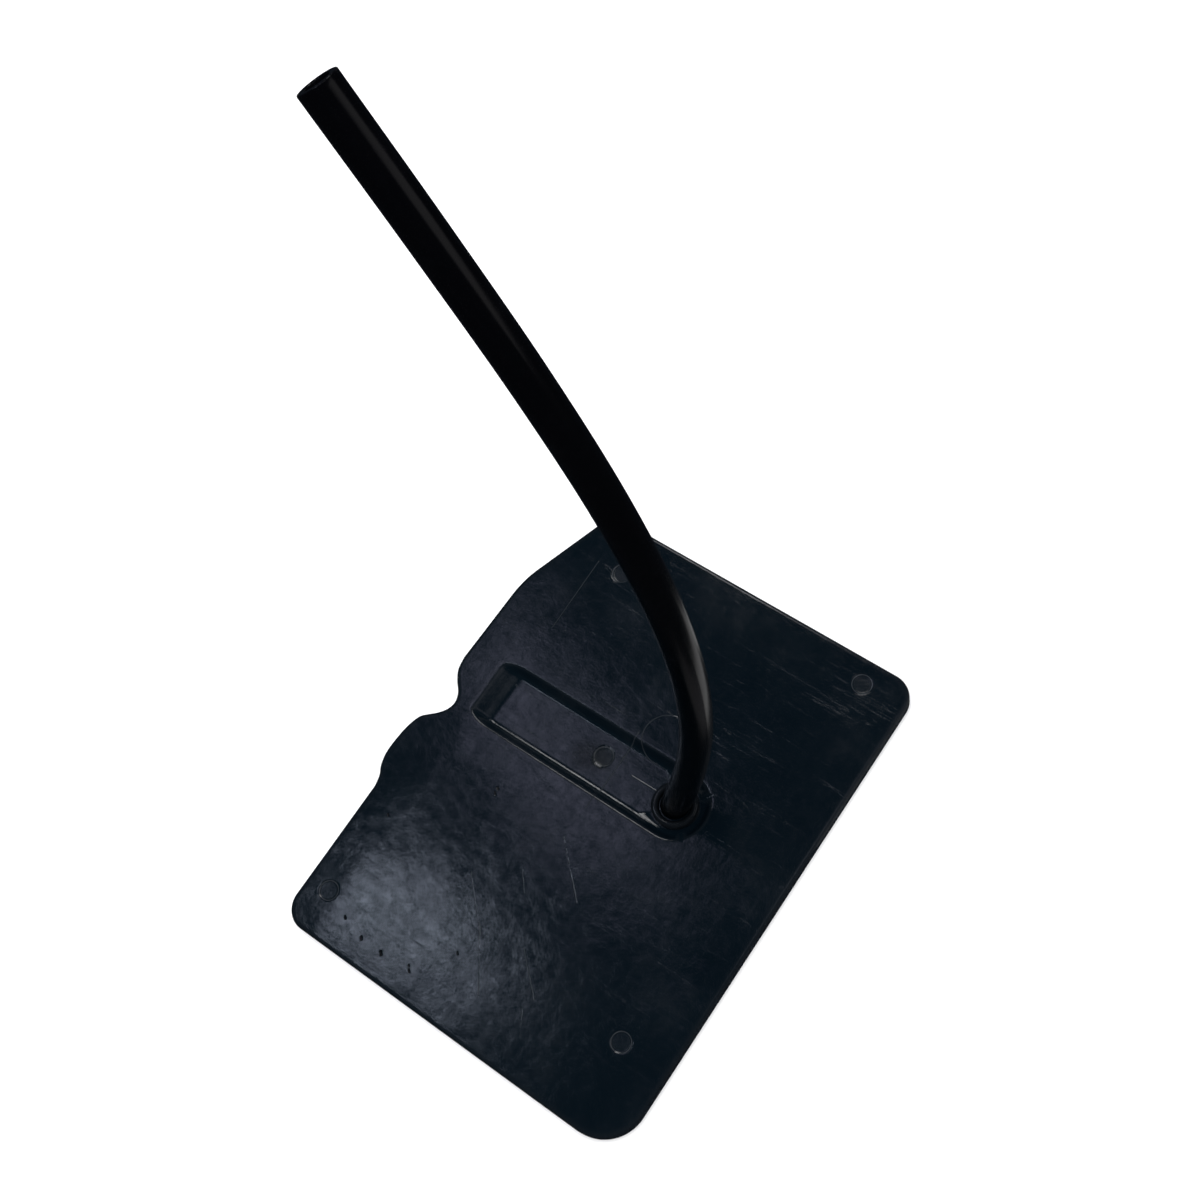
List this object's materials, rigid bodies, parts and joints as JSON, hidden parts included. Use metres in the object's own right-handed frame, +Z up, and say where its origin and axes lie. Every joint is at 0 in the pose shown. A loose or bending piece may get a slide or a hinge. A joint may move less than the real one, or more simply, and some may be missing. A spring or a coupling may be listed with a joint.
{
  "type": "batting tee",
  "caption": "Flat notched plate with a long trough and an angled stub that carries a tall, flexible, bowed hose whose open top end holds a ball to be hit.",
  "frame": {"origin": "middle of the plate's underside, the point the ground_face mount names; Z = 0 is the ground", "axes": "+Z up, the way the tube stands; +X towards the notched long edge, Y along the plate's long side, the socket lies towards -X"},
  "size_m": [0.3649, 0.457, 0.7547],
  "materials": {
    "plate_rubber": "semi-gloss moulded rubber, scuffed",
    "collar_rubber": "glossy moulded rubber",
    "hose_rubber": "smooth, satin to glossy",
    "stub_plastic": "matt moulded",
    "zinc_steel": "dull zinc plate"
  },
  "bodies": {
    "plate": {"base_plate": "plate_rubber", "socket_collar": "collar_rubber", "screw_washer": "zinc_steel"},
    "stub": {"tube_stub": "stub_plastic", "stub_screw": "zinc_steel"},
    "tube_foot": {"tube_foot": "hose_rubber"},
    "tube_lower": {"tube_lower": "hose_rubber"},
    "tube_lower_middle": {"tube_lower_middle": "hose_rubber"},
    "tube_upper_middle": {"tube_upper_middle": "hose_rubber"},
    "tube_upper": {"tube_upper": "hose_rubber"}
  },
  "joints": [
    {"name": "stub_swivel", "type": "hinge", "parent": "plate", "child": "stub", "pos_m": [-0.058, -0.034, 0.009], "axis": [0, 0, 1], "continuous": true},
    {"name": "tube_pull_off", "type": "slide", "parent": "stub", "child": "tube_foot", "axis": [-0.2131, -0.1301, 0.9683], "range_m": [0, 0.022]},
    {"name": "root_flex", "type": "hinge", "parent": "tube_foot", "child": "tube_lower", "pos_m": [-0.06376, -0.03752, 0.03544], "axis": [0.234, 0.956, 0.1771], "range_deg": [-15, 15], "stiffness_Nm_per_rad": 12, "springref_deg": -0.39},
    {"name": "side_flex_low", "type": "hinge", "parent": "tube_lower", "child": "tube_lower_middle", "pos_m": [-0.08392, -0.05019, 0.13562], "axis": [-0.9565, 0.2662, -0.1191], "range_deg": [-12, 12], "stiffness_Nm_per_rad": 12, "springref_deg": 0.28},
    {"name": "middle_flex", "type": "hinge", "parent": "tube_lower_middle", "child": "tube_upper_middle", "pos_m": [-0.0951, -0.06879, 0.30394], "axis": [0.2731, 0.958, 0.0872], "range_deg": [-20, 20], "stiffness_Nm_per_rad": 9, "springref_deg": -0.89},
    {"name": "side_flex_high", "type": "hinge", "parent": "tube_upper_middle", "child": "tube_upper", "pos_m": [-0.05508, -0.09024, 0.49776], "axis": [-0.8923, 0.2483, 0.3771], "range_deg": [-15, 15], "stiffness_Nm_per_rad": 6, "springref_deg": 0.01}
  ]
}
